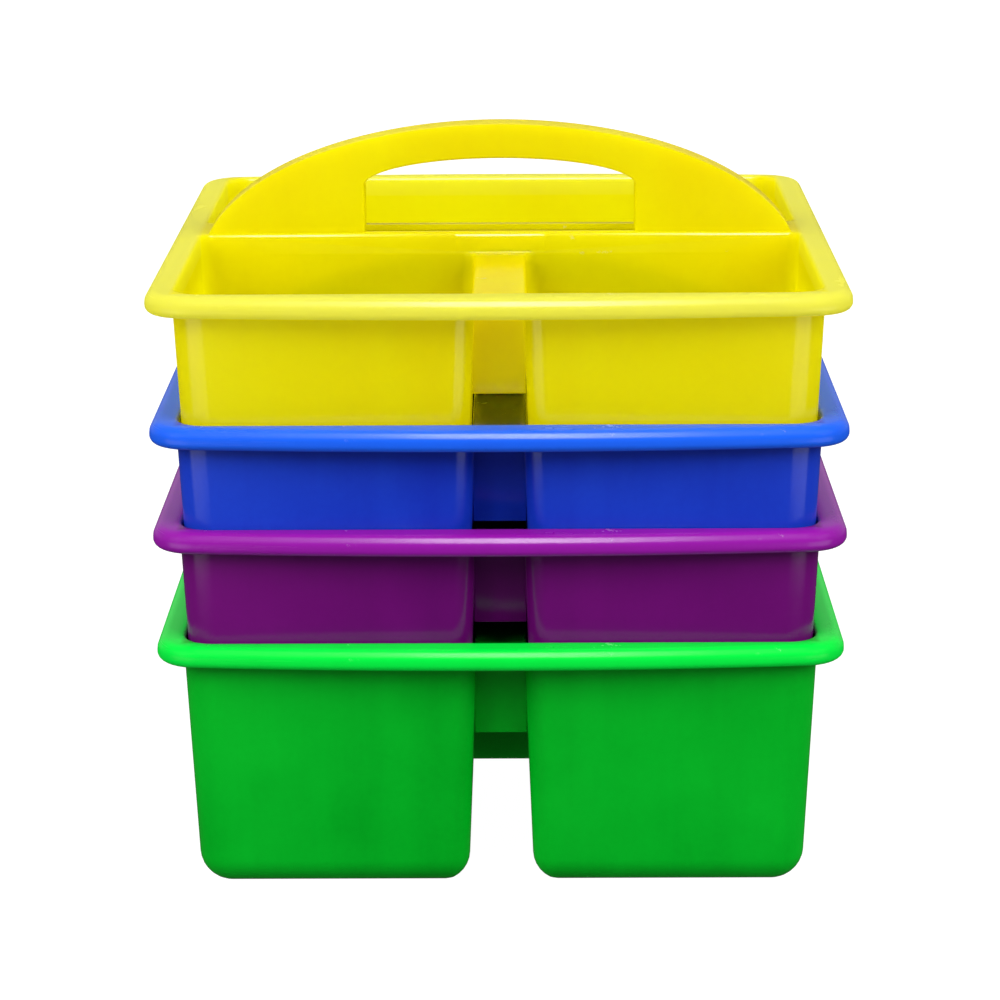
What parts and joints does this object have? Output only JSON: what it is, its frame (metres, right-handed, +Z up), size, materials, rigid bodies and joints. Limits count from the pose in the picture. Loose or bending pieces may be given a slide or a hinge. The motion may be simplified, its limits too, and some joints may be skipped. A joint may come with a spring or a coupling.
{
  "type": "cleaning caddy",
  "caption": "Nested stack of square one-piece plastic cleaning caddies, each with a full-width rear compartment, front compartments, a rolled rim and a hollow arched carry handle.",
  "frame": {"origin": "centre of the stack's footprint, on the surface it stands on", "axes": "+Z up and along the lift-off direction, -Y towards the front with the two small compartments and the slot, +X to the right seen from the front"},
  "size_m": [0.2354, 0.2354, 0.2517],
  "materials": {
    "green_plastic": "smooth glossy moulded polypropylene, lightly scuffed",
    "purple_plastic": "smooth glossy moulded polypropylene, lightly scuffed",
    "blue_plastic": "smooth glossy moulded polypropylene, lightly scuffed",
    "yellow_plastic": "smooth glossy moulded polypropylene, lightly scuffed"
  },
  "bodies": {
    "green_caddy": {"caddy_green": "green_plastic"},
    "purple_caddy": {"caddy_purple": "purple_plastic"},
    "blue_caddy": {"caddy_blue": "blue_plastic"},
    "yellow_caddy": {"caddy_yellow": "yellow_plastic"}
  },
  "joints": [
    {"name": "purple_lift", "type": "slide", "parent": "green_caddy", "child": "purple_caddy", "axis": [0, 0, 1], "range_m": [0, 0.1]},
    {"name": "blue_lift", "type": "slide", "parent": "purple_caddy", "child": "blue_caddy", "axis": [0, 0, 1], "range_m": [0, 0.1]},
    {"name": "yellow_lift", "type": "slide", "parent": "blue_caddy", "child": "yellow_caddy", "axis": [0, 0, 1], "range_m": [0, 0.1]}
  ]
}
